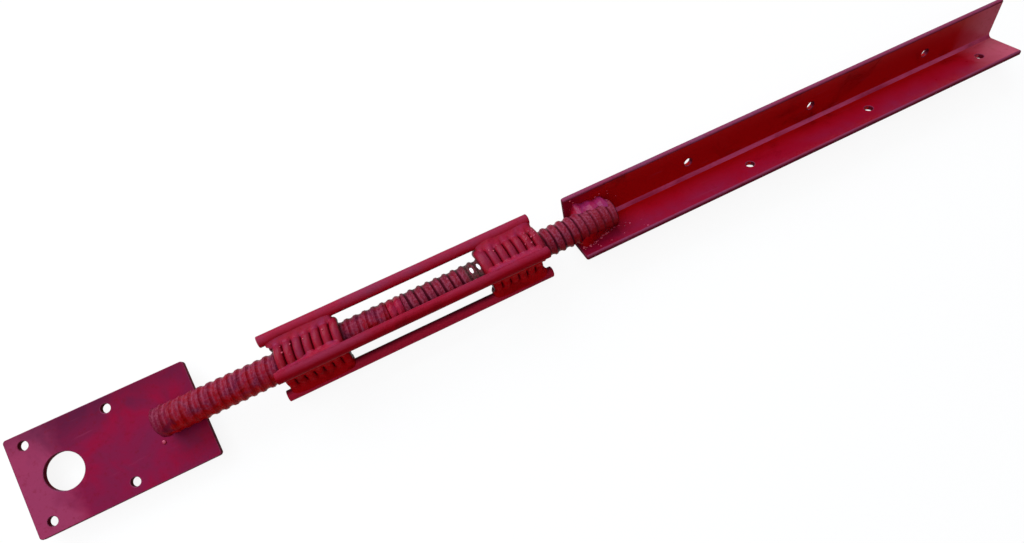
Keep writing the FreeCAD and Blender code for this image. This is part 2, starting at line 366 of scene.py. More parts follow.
# To a millimetre of bead, the waves of its swelling and of its unevenness, and the radians of its ripples
SWELL_WAVES = 0.16
UNEVEN_WAVES = 0.3
RIPPLE_RADIANS = 1.9

# Across a bead from its first toe, how far it follows the hollows beneath and how deep the toe is buried
HOLLOW_SHARE = [(0.1, 1.0), (0.6, 0.0)]
TOE_BURIAL = [(0.0, 0.35), (0.1, 0.0)]

# The bead's buried back: how near the corner its sides come, and how far they and its middle go past it
BACK_REACH = 0.9
BACK_SIDE_DEPTH = 0.25
BACK_MIDDLE_DEPTH = 0.6


def weld_run(stations, edges, seed, lumps, dip=None):
    """Rings of a weld; edges gives its two toes, the corner it fills and its crown at a station and scale.

    A dip is the depth, by station and turn, of the hollows beneath the first toe, which the weld fills
    further in.
    """
    last = len(stations) - 1
    rings = []
    for i, station in enumerate(stations):
        closing = ease(min(i, last - i), BEAD_CLOSING)
        swell = 1 + lumps*noise.noise(Vector((station*SWELL_WAVES, seed, 3.0)))
        first, second, corner, crown = edges(station, closing*swell)
        middle = (first + second)/2
        outward = Vector((0, middle.y, middle.z - AXIS_HEIGHT*MM)).normalized()
        drift = noise.noise(Vector((station*UNEVEN_WAVES, seed, 0)))
        ripple = math.sin(station*RIPPLE_RADIANS + 2*drift)
        uneven = lumps*(ripple + 2*noise.noise(Vector((station*UNEVEN_WAVES, seed, 9.0))))
        control = middle + outward*(crown + uneven)*MM
        ring = []
        for k in range(BEAD_ARC):
            t = k/(BEAD_ARC - 1)
            point = first*(1 - t)**2 + control*2*t*(1 - t) + second*t**2
            if dip:
                rise = Vector((0, point.y, point.z - AXIS_HEIGHT*MM))
                turn = math.degrees(math.atan2(rise.y, rise.z))
                sunk = dip(station, turn)*ease(t, HOLLOW_SHARE) + ease(t, TOE_BURIAL)
                point = point - rise.normalized()*sunk*MM
            ring.append(point)
        past_corner = (corner - middle)*BACK_SIDE_DEPTH
        ring.append(second + (corner - second)*BACK_REACH + past_corner)
        ring.append(corner + (corner - middle)*BACK_MIDDLE_DEPTH)
        ring.append(first + (corner - first)*BACK_REACH + past_corner)
        shift = Vector(((station - HALF_LENGTH)*MM, 0, 0))
        rings.append([Vector((0, p.y, p.z)) + shift for p in ring])
    return rings


def steps_between(start, end, step):
    """Even places from start to end, about a step apart."""
    count = round((end - start)/step)
    return [start + (end - start)*i/count for i in range(count + 1)]


# Welds at the nuts: the toes' rise over the nut and sink into the strut, the corner's sink, the deepest crown
NUT_TOE_RISE = 0.08
STRUT_TOE_SINK = 0.12
CORNER_SINK = 0.5
DEEPEST_CROWN = 1.3


def beside_strut(turn, side, size):
    """Toes, corner and crown of a fillet of the given radius between a nut and a strut."""
    to_centre = NUT_RADIUS + size
    to_strut = STRUT_RADIUS + size
    cosine = (to_centre**2 + STRUT_CIRCLE**2 - to_strut**2)/(2*to_centre*STRUT_CIRCLE)
    reach = math.degrees(math.acos(cosine))
    hollow = at(0, to_centre, turn + side*reach)
    strut = at(0, STRUT_CIRCLE, turn)
    on_nut = at(0, NUT_RADIUS + NUT_TOE_RISE, turn + side*reach)
    on_strut = strut + (hollow - strut)*((STRUT_RADIUS - STRUT_TOE_SINK)/to_strut)
    return on_nut, on_strut, at(0, NUT_RADIUS - CORNER_SINK, turn), -min(DEEPEST_CROWN, 0.5*size)


# Fillet sizes along the nuts on the two sides of each strut, at shares of the weld's length
FRONT_PANEL = [(0.02, 4.0), (0.25, 14.0), (0.8, 14.0), (0.98, 5.0)]
NUT_FILLETS = {
    ("left", "upper_back", -1): [(0.05, 2.0), (0.2, 3.4), (0.6, 4.2), (1.0, 3.0)],
    ("left", "upper_front", 1): [(0.05, 1.0), (0.42, 1.4), (0.52, 3.8), (0.88, 3.8), (1.0, 2.6)],
    ("left", "upper_front", -1): FRONT_PANEL,
    ("left", "lower_front", 1): FRONT_PANEL,
    ("right", "upper_back", -1): [
        (0.04, 3.0), (0.16, 5.0), (0.22, 8.0), (0.27, 8.0), (0.33, 4.4), (0.7, 4.6), (0.82, 7.0), (0.9, 7.0),
        (0.98, 3.5)],
    ("right", "upper_front", 1): [(0.04, 2.8), (0.35, 3.8), (0.75, 3.4), (0.88, 4.2), (0.98, 2.8)],
    ("right", "upper_front", -1): FRONT_PANEL,
    ("right", "lower_front", 1): FRONT_PANEL,
}
PLAIN_FILLET = [(0.0, 3.0), (1.0, 3.0)]
NUT_WELD_INSETS = (1.6, 2.4)
NUT_WELD_LUMPS = 0.12


def nut_welds(side, place, seed):
    """The pair of weld runs that hold a strut to a nut."""
    nut = NUTS[side]
    turn = STRUTS[place][0]
    start = nut["start"] + NUT_WELD_INSETS[0]
    end = nut["start"] + nut["turns"]*PITCH + 2*WIRE_RADIUS - NUT_WELD_INSETS[1]
    stations = steps_between(start, end, BEAD_STEP)
    tubes = []
    for beside in (-1, 1):
        sizes = NUT_FILLETS.get((side, place, beside), PLAIN_FILLET)

        def edges(station, scale):
            return beside_strut(turn, beside, ease((station - start)/(end - start), sizes)*scale)

        tubes.append(weld_run(stations, edges, seed + beside, NUT_WELD_LUMPS,
                              lambda station, angle: groove_depth(nut, station, angle)))
    name = f"{side}_weld_runs_{place}"
    mesh = tube_mesh(name, tubes)
    mark_panel(mesh)
    add_piece(name, mesh, "turnbuckle", [WELD_LOOK, PANEL_LOOK],
              [f"{side}_nut_welds_{place}"])


# Welds at the rods' ends: the toes' sink into rod and face, and the corner's share of the reach
END_TOE_SINK = 0.2
CORNER_SHARE = 0.25


def against_face(facing, side, reach, climb, crown):
    """Toes and corner of a weld between a rod and the flat face that it touches at the given turn.

    The reach runs along the face in millimetres and the climb round the rod in degrees, both from the touch.
    """
    axis = at(0, 0, 0)
    normal = direction(facing)*MM
    sideways = direction(facing + side*90)*MM
    on_rod = at(0, CREST_RADIUS - END_TOE_SINK, facing + side*climb)
    on_face = axis + normal*(CREST_RADIUS + END_TOE_SINK) + sideways*reach
    return on_rod, on_face, axis + normal*CREST_RADIUS + sideways*reach*CORNER_SHARE, crown


# For each such weld the turn of the touched face, and by station the levels of reach, climb and crown
PLATE_WELD = {"reach": [(81, 4.6), (90, 6.0), (105, 5.0)], "climb": [(81, 30), (90, 38), (105, 32)],
              "crown": [(81, -0.3), (105, -0.3)], "lumps": 0.15}
END_WELDS = {
    "plate_weld_front": {"facing": 180, "side": 1, **PLATE_WELD},
    "plate_weld_back": {"facing": 180, "side": -1, **PLATE_WELD},
    "angle_weld_front": {
        "facing": 180 - ANGLE_ROLL, "side": 1, "lumps": 0.2,
        "reach": [(353.5, 9.5), (362, 8.5), (370, 6.0), (380, 2.5)],
        "climb": [(353.5, 80), (366, 84), (372, 72), (380, 45)],
        "crown": [(353.5, -0.6), (380, -0.2)],
    },
    "angle_weld_back": {
        "facing": 90 - ANGLE_ROLL, "side": -1, "lumps": 0.25,
        "reach": [(355.5, 8.5), (359, 10.8), (368, 9.6), (376, 8.2), (380.5, 6.0)],
        "climb": [(355.5, 66), (360, 76), (368, 92), (375, 100), (380.5, 86)],
        "crown": [(355.5, -0.4), (362, 0.4), (368, 1.6), (375, 2.8), (380.5, 2.2)],
    },
}


def end_weld(node, body, seed):
    """A weld between a rod and the plate or a leg of the angle."""
    weld = END_WELDS[node]
    stations = steps_between(weld["reach"][0][0], weld["reach"][-1][0], BEAD_STEP)

    def edges(station, scale):
        reach, climb, crown = (ease(station, weld[key])*scale for key in ("reach", "climb", "crown"))
        return against_face(weld["facing"], weld["side"], reach, climb, crown)

    rings = weld_run(stations, edges, seed, weld["lumps"])
    add_piece(f"{node}_run", tube_mesh(f"{node}_run", [rings]), body, [BEAD_LOOK], [node])


# Drops of weld metal: height and width of their rings as shares of the radius, and how uneven they are
DROP_SIDES = 12
DROP_LUMPS = 0.2
DROP_PROFILE = ((-0.25, 0.9), (0.0, 1.0), (0.28, 0.93), (0.5, 0.72), (0.64, 0.4), (0.69, 0.12))


def droplets(name, spots, body):
    """Low domes of spatter, each given by its place, the face's normal and its radius."""
    tubes = []
    for number, (spot, normal, radius) in enumerate(spots):
        across = normal.orthogonal().normalized()
        other = normal.cross(across)
        rings = []
        for height, share in DROP_PROFILE:
            ring = []
            for k in range(DROP_SIDES):
                turn = TAU*k/DROP_SIDES
                uneven = 1 + DROP_LUMPS*noise.noise(Vector((number*3.1, math.cos(turn), math.sin(turn))))
                reach = (across*math.cos(turn) + other*math.sin(turn))*radius*share*uneven
                ring.append(spot + (reach + normal*height*radius)*MM)
            rings.append(ring)
        tubes.append(rings)
    add_piece(name, tube_mesh(name, tubes), body, [SPATTER_GLINT_LOOK])


def angle_face(station, reach, upright):
    """A point and the normal on a leg's inner face, reach measured from the axis towards the toe."""
    down = 180 - ANGLE_ROLL
    behind = 90 - ANGLE_ROLL
    facing, toe = (behind, down - 180) if upright else (down, behind + 180)
    normal = direction(facing)
    return at(station, 0, 0) + (normal*CREST_RADIUS + direction(toe)*reach)*MM, -normal


# Spatter on the angle's legs: whether it is the upright leg, the drops' least and most reach and their
# number, then the span of the drops from the angle's start and of their radius
DROP_SEED = 11
LEG_DROPS = ((True, 1, 15, 12), (False, 3, 15, 16))
LEG_DROP_SPAN = (3, 46)
LEG_DROP_RADII = (0.3, 0.8)

# Spatter along the toe of the angle's front weld: number, spans along the angle and beside the toe, radius
TOE_DROPS = 38
TOE_DROP_SPAN = (1.5, 27.5)
TOE_DROP_SPREAD = (-0.6, 1.6)
TOE_DROP_RADII = (0.3, 1.0)

# Spatter on the plate, one drop by station, side and radius, and on stretches of the nuts by first and last
# station, first and last turn and number
PLATE_DROP = (79.2, -9.5, 1.3)
NUT_DROPS = ((318, 327, -6, 40, 12), (290, 312, 20, 44, 5), (164, 196, -8, 44, 6))
NUT_DROP_RADII = (0.3, 0.75)
NUT_DROP_SINK = 0.1


def spatter():
    """Drops of weld metal around the welds of the angle, the plate and the nuts."""
    drops = random.Random(DROP_SEED)
    on_angle = []
    for upright, low, high, count in LEG_DROPS:
        for _ in range(count):
            station = ANGLE_START + drops.uniform(*LEG_DROP_SPAN)
            spot, normal = angle_face(station, drops.uniform(low, high), upright)
            on_angle.append((spot, normal, drops.uniform(*LEG_DROP_RADII)))
    for _ in range(TOE_DROPS):
        station = ANGLE_START + drops.uniform(*TOE_DROP_SPAN)
        toe = ease(station, END_WELDS["angle_weld_front"]["reach"])
        spot, normal = angle_face(station, toe + drops.uniform(*TOE_DROP_SPREAD), False)
        on_angle.append((spot, normal, drops.uniform(*TOE_DROP_RADII)))
    droplets("angle_spatter", on_angle, "angle_end")
    station, side, radius = PLATE_DROP
    on_plate = Vector(((station - HALF_LENGTH)*MM, side*MM, PLATE_TOP*MM))
    droplets("plate_spatter", [(on_plate, Vector((0, 0, 1)), radius)], "plate_end")
    on_nuts = []
    for first, last, low, high, count in NUT_DROPS:
        for _ in range(count):
            turn = drops.uniform(low, high)
            spot = at(drops.uniform(first, last), NUT_RADIUS - NUT_DROP_SINK, turn)
            on_nuts.append((spot, direction(turn), drops.uniform(*NUT_DROP_RADII)))
    droplets("nut_spatter", on_nuts, "turnbuckle")


# Plate and angle with broken edges: the rounding in millimetres, the angles over which an edge is rounded and
# over which it then shades sharp, the depth of the toes' look, and the numbers of the looks
EDGE_ROUNDING = 0.45
ROUNDED_ANGLE = 40
CRISP_ANGLE = 30
TOE_BAND = 1.2
PLAIN_FACE, EDGE_FACE, ROOT_HIGHLIGHT_FACE = range(3)


def dressed_copy(name, node, body, looks, look_of):
    """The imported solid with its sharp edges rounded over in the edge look; look_of picks the other looks."""
    shape = bmesh.new()
    shape.from_mesh(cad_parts[node].data)
    bmesh.ops.remove_doubles(shape, verts=shape.verts, dist=1e-6)
    bmesh.ops.dissolve_limit(shape, angle_limit=math.radians(0.5), verts=shape.verts, edges=shape.edges)
    limit = math.radians(ROUNDED_ANGLE)
    sharp = [e for e in shape.edges if len(e.link_faces) == 2 and e.calc_face_angle() > limit]
    bmesh.ops.bevel(shape, geom=sharp, offset=EDGE_ROUNDING*MM, segments=3, profile=0.5, affect="EDGES",
                    material=EDGE_FACE)
    bmesh.ops.triangulate(shape, faces=shape.faces, ngon_method="EAR_CLIP")
    for face in shape.faces:
        if face.material_index == PLAIN_FACE:
            face.material_index = look_of(face)
    mesh = bpy.data.meshes.new(name)
    shape.to_mesh(mesh)
    shape.free()
    settle(mesh, sharp=CRISP_ANGLE)
    piece = add_piece(name, mesh, body, looks, [node])
    flatten = piece.modifiers.new("flat_faces", "WEIGHTED_NORMAL")
    flatten.keep_sharp = True


def plate_look(face):
    """Number of the look on a face of the plate: flat, or cut edge."""
    return EDGE_FACE if abs(face.normal.z) < 0.5 else PLAIN_FACE


def angle_look(face):
    """Number of the look on a face of the angle: plain, toe or cut end, or the painted highlight in the
    hollow.
    """
    centre = face.calc_center_median() - at(0, 0, 0)
    reach = max(centre.dot(direction(ROOT_TURN + side*45)) for side in (-1, 1))/MM
    if reach > TOE_REACH - TOE_BAND or abs(face.normal.x) > 0.7:
        return EDGE_FACE
    if face.normal.dot(direction(ROOT_TURN)) > 0.9 and reach < 0:
        return ROOT_HIGHLIGHT_FACE
    return PLAIN_FACE


# Materials
def add_node(tree, kind, inputs=None, **settings):
    """A shader node with its inputs set to values or linked to sockets."""
    made = tree.nodes.new(kind)
    for key, value in settings.items():
        setattr(made, key, value)
    for socket, value in (inputs or {}).items():
        if isinstance(value, bpy.types.NodeSocket):
            tree.links.new(value, made.inputs[socket])
        else:
            made.inputs[socket].default_value = value
    return made


def colour_ramp(tree, factor, stops):
    """Colours run together between (place, colour) stops."""
    ramp = add_node(tree, "ShaderNodeValToRGB", {"Fac": factor})
    steps = ramp.color_ramp.elements
    while len(steps) < len(stops):
        steps.new(0.5)
    for step, (place, colour) in zip(steps, stops):
        step.position = place
        step.color = (*colour, 1)
    return ramp.outputs["Color"]


def mix_colour(tree, factor, first, second):
    """Two colours, each a socket or red, green and blue, mixed by a socket or number."""
    mixed = add_node(tree, "ShaderNodeMix", data_type="RGBA")
    sockets = (mixed.inputs["Factor"], mixed.inputs[6], mixed.inputs[7])
    for socket, value in zip(sockets, (factor, first, second)):
        if isinstance(value, bpy.types.NodeSocket):
            tree.links.new(value, socket)
        elif isinstance(value, tuple):
            socket.default_value = (*value, 1)
        else:
            socket.default_value = value
    return mixed.outputs[2]


def combine(tree, operation, first, second, clamp=False):
    """Arithmetic on two values."""
    made = add_node(tree, "ShaderNodeMath", {0: first, 1: second}, operation=operation, use_clamp=clamp)
    return made.outputs["Value"]


def map_range(tree, value, low, high, new_low, new_high):
    """A value moved from one range to another and held inside it."""
    ranged = add_node(tree, "ShaderNodeMapRange", {
        "Value": value, "From Min": low, "From Max": high, "To Min": new_low, "To Max": new_high})
    return ranged.outputs["Result"]


def noise_of(tree, place, scale, detail, roughness=0.55, distortion=0.0):
    """Cloudy noise over a place, its scale in waves a metre."""
    made = add_node(tree, "ShaderNodeTexNoise", {
        "Vector": place, "Scale": scale, "Detail": detail, "Roughness": roughness, "Distortion": distortion})
    return made.outputs["Fac"]


def bump(tree, height, strength, distance, normal=None):
    """A normal tilted by a height, on top of another normal where one is given."""
    inputs = {"Height": height, "Strength": strength, "Distance": distance}
    if normal:
        inputs["Normal"] = normal
    return add_node(tree, "ShaderNodeBump", inputs).outputs["Normal"]


def along(tree, vector, side):
    """How far a vector reaches towards a side."""
    dot = add_node(tree, "ShaderNodeVectorMath", {0: vector, 1: side}, operation="DOT_PRODUCT")
    return dot.outputs["Value"]


def off_axis(tree, place):
    """How far a place lies from the rods' axis."""
    flat = add_node(tree, "ShaderNodeMapping", {
        "Vector": place, "Location": (0, 0, -AXIS_HEIGHT*MM), "Scale": (0, 1, 1)})
    length = add_node(tree, "ShaderNodeVectorMath", {0: flat.outputs["Vector"]}, operation="LENGTH")
    return length.outputs["Value"]


# Sides that fades, painted light and painted shade are worked out towards
LENGTHWISE = (1, 0, 0)
BACKWARDS = (0, 1, 0)

# Sides towards which paint takes its tone of painted light or shade: of most pieces, of the two front bars,
# and of the rods
SHEEN_SIDE = (0.0, 0.42, 0.91)
FRONT_BAR_SIDE = (0.0, 0.77, 0.64)
LOW_BAR_SIDE = (0.0, 0.94, 0.34)
ROD_LIGHT_SIDE = (-0.22, 0.40, 0.89)

# Waves a metre of the paint's noise, and its relief in metres
SWELL_SCALE, SWELL_HEIGHT = 160, 0.0008
GRAIN_SCALE, GRAIN_HEIGHT = 420, 0.0003
PIT_SCALE, PIT_HEIGHT = 1500, 0.0001
SPECK_SCALE = 800
SCUFF_SCALE = (40, 420, 420)

# The usual range of the noise in patches, the raggedness of the line where a fade starts, and the depths
# between which a nut's groove takes painted shade, in metres
PATCH_RANGE = (0.3, 0.7)
FADE_RAGGEDNESS = 0.008
GROOVE_SHADE_DEPTHS = (0.0006, 0.0019)

# Colours of painted shade in nut grooves and on a thread's flank, of bare steel, dull and rusty, and of
# painted glints
GROOVE_SHADE = (0.05, 0.001, 0.005)
THREAD_SHADE = (0.04, 0.001, 0.006)
DULL_STEEL = (0.04, 0.012, 0.012)
RUSTY_STEEL = (0.10, 0.05, 0.045)
GLINT_WHITE = (0.95, 0.94, 0.92)


def paint(name, tones, rough, peel, shine=0.06, mottle=34, painted_light_side=SHEEN_SIDE, fades=(), root_shade=None,
          blotch=0.15, glint_flecks=0.0, thread=None, groove_shade=0.0):
    """Thick paint, mottled, red where it faces away from its side of painted light, another tone towards it.

    That tone is painted light or shade: a purple painted sheen where most looks face up and back,
    painted shade on the low bar's top, and a darker purple on the rods.  Fades are stretches towards a
    side, from and to in metres, that blend to another tone.  A root shade is a direction with the places
    along it, in metres, between which the painted light comes in, so that painted shade lies nearer the
    root.  Blotch is how unevenly the painted light lies and glint flecks the strength of pale specks in it,
    painted glints, and a thread gives the strengths of the painted shade on its flank that faces +X and of
    the painted highlight in its hollow.  Groove shade is the strength of the painted shade between the
    turns of a nut.
    """
    material = bpy.data.materials.new(name)
    material.use_nodes = True
    tree = material.node_tree
    shader = tree.nodes["Principled BSDF"]
    axes = add_node(tree, "ShaderNodeTexCoord").outputs
    place = axes["Object"]
    stretched = add_node(tree, "ShaderNodeMapping", {"Vector": place, "Scale": SCUFF_SCALE})
    patches = noise_of(tree, place, mottle, 4, 0.6, 0.6)
    grains = noise_of(tree, place, GRAIN_SCALE, 3)
    specks = noise_of(tree, place, SPECK_SCALE, 2)
    pits = noise_of(tree, place, PIT_SCALE, 2)
    scuffs = noise_of(tree, stretched.outputs["Vector"], 1.0, 2)
    red, crimson, purple = tones
    dark = tuple(0.5*c for c in red)
    pale = (1.25*crimson[0], crimson[1] + 0.03, crimson[2] + 0.05)
    # Painted light: the look's tone towards its side, a painted sheen on most looks and painted shade on some
    painted_light = painted_light_level(tree, axes, patches, painted_light_side, root_shade, blotch)
    below = colour_ramp(tree, patches, [(0.25, dark), (0.45, red)])
    above = colour_ramp(tree, patches, [(0.40, crimson), (0.66, purple)])
    colour = mix_colour(tree, painted_light, below, above)
    ragged = map_range(tree, patches, *PATCH_RANGE, -FADE_RAGGEDNESS, FADE_RAGGEDNESS)
    for side, start, end, tint, share in fades:
        reached = combine(tree, "ADD", along(tree, place, side), ragged)
        colour = mix_colour(tree, map_range(tree, reached, start, end, 0.0, share), colour, tint)
    colour = mix_colour(tree, map_range(tree, grains, 0.56, 0.75, 0.0, 0.35), colour, dark)
    colour = mix_colour(tree, map_range(tree, scuffs, 0.66, 0.85, 0.0, 0.4), colour, pale)
    # Pale specks in the painted light are painted glints
    glinting = combine(tree, "MULTIPLY", painted_light, map_range(tree, specks, 0.50, 0.64, 0.0, glint_flecks))
    colour = mix_colour(tree, glinting, colour, pale)
    # Painted shade on the thread's flank that faces +X, away from the light
    if thread:
        shaded_flank = along(tree, axes["Normal"], LENGTHWISE)
        shaded_flank = combine(tree, "ADD", shaded_flank, map_range(tree, patches, *PATCH_RANGE, -0.2, 0.1))
        colour = thread_shading_and_wear(tree, colour, thread, shaded_flank, painted_light, grains, pits, pale)
    # Painted shade in the nut's grooves and on welds that lie below the nut's outside
    if groove_shade:
        sunk = combine(tree, "SUBTRACT", NUT_RADIUS*MM, off_axis(tree, place))
        colour = mix_colour(tree, map_range(tree, sunk, *GROOVE_SHADE_DEPTHS, 0.0, groove_shade), colour, GROOVE_SHADE)
    coarse = bump(tree, noise_of(tree, place, SWELL_SCALE, 2), 0.5*peel, SWELL_HEIGHT)
    fine = bump(tree, grains, peel, GRAIN_HEIGHT, coarse)
    tree.links.new(bump(tree, pits, 0.5*peel, PIT_HEIGHT, fine), shader.inputs["Normal"])
    tree.links.new(colour, shader.inputs["Base Color"])
    gloss = map_range(tree, patches, *PATCH_RANGE, rough - 0.07, rough + 0.09)
    tree.links.new(gloss, shader.inputs["Roughness"])
    shader.inputs["Specular IOR Level"].default_value = shine
    return material


def painted_light_level(tree, axes, patches, painted_light_side, root_shade, blotch):
    """How much painted light tones the paint, 0 to 1: towards the given side outside the root's painted shade,
    and on all backs.
    """
    facing = along(tree, axes["Normal"], painted_light_side)
    blotched = combine(tree, "ADD", facing, map_range(tree, patches, *PATCH_RANGE, -blotch, blotch))
    painted_light = map_range(tree, blotched, 0.25, 0.95, 0.0, 1.0)
    if root_shade:
        side, start, end = root_shade
        unshaded = map_range(tree, along(tree, axes["Object"], side), start, end, 0.0, 1.0)
        painted_light = combine(tree, "MULTIPLY", painted_light, unshaded)
    behind = map_range(tree, along(tree, axes["Normal"], BACKWARDS), 0.6, 0.85, 0.0, 1.0)
    return combine(tree, "MAXIMUM", painted_light, behind)


def thread_shading_and_wear(tree, colour, thread, shaded_flank, painted_light, grains, pits, pale):
    """Painted shade on a thread's +X flank, painted highlights in hollow and crest, steel and painted glints.
    """
    flank_shade, seam_glint = thread
    crest = add_node(tree, "ShaderNodeAttribute", attribute_name="crest").outputs["Fac"]
    bare_and_glint = add_node(tree, "ShaderNodeAttribute", attribute_name="bare_and_glint").outputs["Fac"]
    colour = mix_colour(tree, map_range(tree, shaded_flank, 0.05, 0.36, 0.0, flank_shade), colour, THREAD_SHADE)
    # Painted highlight in the thread's hollow
    seam_highlight = combine(tree, "MULTIPLY", map_range(tree, crest, 0.06, 0.01, 0.0, seam_glint),
                     map_range(tree, grains, 0.40, 0.60, 0.4, 1.0))
    colour = mix_colour(tree, combine(tree, "MULTIPLY", seam_highlight, painted_light), colour, pale)
    # Painted highlight along the crest
    crest_highlight = combine(tree, "MULTIPLY", map_range(tree, crest, 0.9, 1.0, 0.0, 0.6),
                     map_range(tree, grains, 0.42, 0.58, 0.0, 1.0))
    colour = mix_colour(tree, combine(tree, "MULTIPLY", crest_highlight, painted_light), colour, pale)
    steel = mix_colour(tree, map_range(tree, pits, 0.4, 0.6, 0.0, 1.0), DULL_STEEL, RUSTY_STEEL)
    worn = combine(tree, "MULTIPLY", map_range(tree, bare_and_glint, 0.1, 0.6, 0.0, 0.9),
                   map_range(tree, grains, 0.35, 0.55, 0.3, 1.0))
    colour = mix_colour(tree, worn, colour, steel)
    # White painted glints where the bare mark is strongest
    return mix_colour(tree, map_range(tree, bare_and_glint, 0.85, 0.95, 0.0, 1.0), colour, GLINT_WHITE)


# Looks: the tones of paint on the front, towards the side of painted light and in their darker patches, then
# roughness and peel
RED = (0.28, 0.001, 0.003)
# The plate takes a pale purple painted reflection at its outer end, and it grows darker towards its back edge
PLATE_FADES = [(LENGTHWISE, -0.321, -0.335, (0.25, 0.032, 0.085), 0.85),
               (BACKWARDS, 0.012, 0.032, (0.055, 0.006, 0.026), 0.75)]
PLATE_LOOK = paint("plate_paint", (RED, (0.205, 0.0025, 0.031), (0.148, 0.008, 0.040)), 0.32, 0.05,
                   shine=0.02, fades=PLATE_FADES)
# The angle takes a pale painted sheen at its far end, and it grows darker towards its near end
ANGLE_FADES = [(LENGTHWISE, 0.315, 0.348, (0.42, 0.07, 0.12), 0.65),
               (LENGTHWISE, 0.024, 0.006, (0.14, 0.001, 0.014), 0.75)]
FRONT_TOE_SIDE = tuple(direction(ROOT_TURN - 45))
# Near the root the angle's front leg loses its painted sheen, which leaves painted shade there
ANGLE_LOOK = paint("angle_paint", ((0.31, 0.001, 0.002), (0.205, 0.002, 0.014), (0.18, 0.005, 0.026)),
                   0.32, 0.05, shine=0.03, fades=ANGLE_FADES, root_shade=(FRONT_TOE_SIDE, 0.004, 0.021))
# The root's look is a painted highlight along the hollow between the legs
ROOT_HIGHLIGHT_LOOK = paint("root_highlight_paint", ((0.37, 0.04, 0.11), (0.37, 0.04, 0.11), (0.22, 0.010, 0.04)), 0.26, 0.08)
# Edges take painted shade, dark red, where they face away from the light, and painted sheen where they face up
# and back
EDGE_LOOK = paint("edge_paint", ((0.10, 0.004, 0.012), (0.20, 0.028, 0.065), (0.17, 0.035, 0.08)),
                  0.30, 0.05, shine=0.005)
# The bars' looks are lit and shaded copies of one paint: painted shade on the upper front bar and on the low
# bar's top
FRONT_BAR_TONES = ((0.19, 0.001, 0.005), (0.215, 0.006, 0.021), (0.19, 0.013, 0.035))
BACK_BAR_TONES = ((0.31, 0.003, 0.012), (0.235, 0.012, 0.034), (0.19, 0.020, 0.050))
LOW_BAR_TONES = ((0.29, 0.007, 0.024), (0.10, 0.004, 0.012), (0.08, 0.004, 0.012))
FRONT_BAR_LOOK = paint("front_bar_paint", FRONT_BAR_TONES, 0.30, 0.07, shine=0.012,
                       painted_light_side=FRONT_BAR_SIDE)
LOW_BAR_LOOK = paint("low_bar_paint", LOW_BAR_TONES, 0.30, 0.07, shine=0.012, painted_light_side=LOW_BAR_SIDE)
BACK_BAR_LOOK = paint("back_bar_paint", BACK_BAR_TONES, 0.30, 0.07, shine=0.012)
BAR_LOOKS = {"upper_front": FRONT_BAR_LOOK, "upper_back": BACK_BAR_LOOK,
             "lower_back": BACK_BAR_LOOK, "lower_front": LOW_BAR_LOOK}
COIL_LOOK = paint("coil_paint", (RED, (0.22, 0.008, 0.024), (0.18, 0.012, 0.036)), 0.26, 0.10, shine=0.05,
                  mottle=70, groove_shade=0.9)
PANEL_LOOK = paint("panel_paint", (RED, (0.28, 0.006, 0.02), (0.22, 0.01, 0.03)), 0.26, 0.14, shine=0.002,
                   mottle=70, groove_shade=0.9)
WELD_TONES = (RED, (0.26, 0.009, 0.030), (0.21, 0.015, 0.052))
WELD_LOOK = paint("weld_paint", WELD_TONES, 0.20, 0.16, shine=0.04, mottle=90, groove_shade=0.9)
STOP_LOOK = paint("stop_paint", WELD_TONES, 0.20, 0.16, shine=0.04, mottle=90)
BEAD_LOOK = paint("bead_paint", (RED, (0.23, 0.010, 0.055), (0.18, 0.014, 0.078)), 0.18, 0.20, shine=0.08,
                  mottle=90)
# The spatter's pale tone on its lit side is a painted glint
SPATTER_GLINT_LOOK = paint("spatter_glint_paint", (RED, (0.42, 0.06, 0.10), (0.30, 0.03, 0.08)), 0.18, 0.10, shine=0.15)
# The plate rod grows darker towards its plate end
PLATE_ROD_FADES = [(LENGTHWISE, -0.262, -0.268, (0.11, 0.004, 0.022), 0.8)]
PLATE_ROD_TONES = ((0.26, 0.001, 0.002), (0.18, 0.006, 0.019), (0.10, 0.006, 0.024))
PLATE_ROD_LOOK = paint("plate_rod_paint", PLATE_ROD_TONES, 0.28, 0.16, shine=0.025, mottle=110,
                       painted_light_side=ROD_LIGHT_SIDE, fades=PLATE_ROD_FADES, blotch=0.4, glint_flecks=0.5,
                       thread=(0.2, 0.7))
ANGLE_ROD_TONES = ((0.17, 0.001, 0.004), (0.17, 0.008, 0.020), (0.13, 0.011, 0.027))
ANGLE_ROD_LOOK = paint("angle_rod_paint", ANGLE_ROD_TONES, 0.30, 0.16, shine=0.025, mottle=110,
                       painted_light_side=ROD_LIGHT_SIDE, blotch=0.25, glint_flecks=0.8, thread=(0.9, 0.8))


# Camera at the photograph's place: sensor and lens in millimetres, place in metres and turns in degrees
SENSOR_WIDTH = 36
LENS = 21.094
LENS_SHIFT = (-0.0099, 0.0418)
CAMERA_PLACE = (-0.10817, -0.07192, 0.38344)
CAMERA_TURNS = (9.005, -4.889, -26.583)
NEAREST_SEEN = 0.01


def build_camera():
    """The camera that sees the part as the photograph does."""
    data = bpy.data.cameras.new("camera")
    data.sensor_fit = "HORIZONTAL"
    data.sensor_width = SENSOR_WIDTH
    data.lens = LENS
    data.shift_x, data.shift_y = LENS_SHIFT
    data.clip_start = NEAREST_SEEN
    camera = bpy.data.objects.new("camera", data)
    camera.location = CAMERA_PLACE
    camera.rotation_euler = [math.radians(a) for a in CAMERA_TURNS]
    bpy.context.scene.collection.objects.link(camera)
    bpy.context.scene.camera = camera


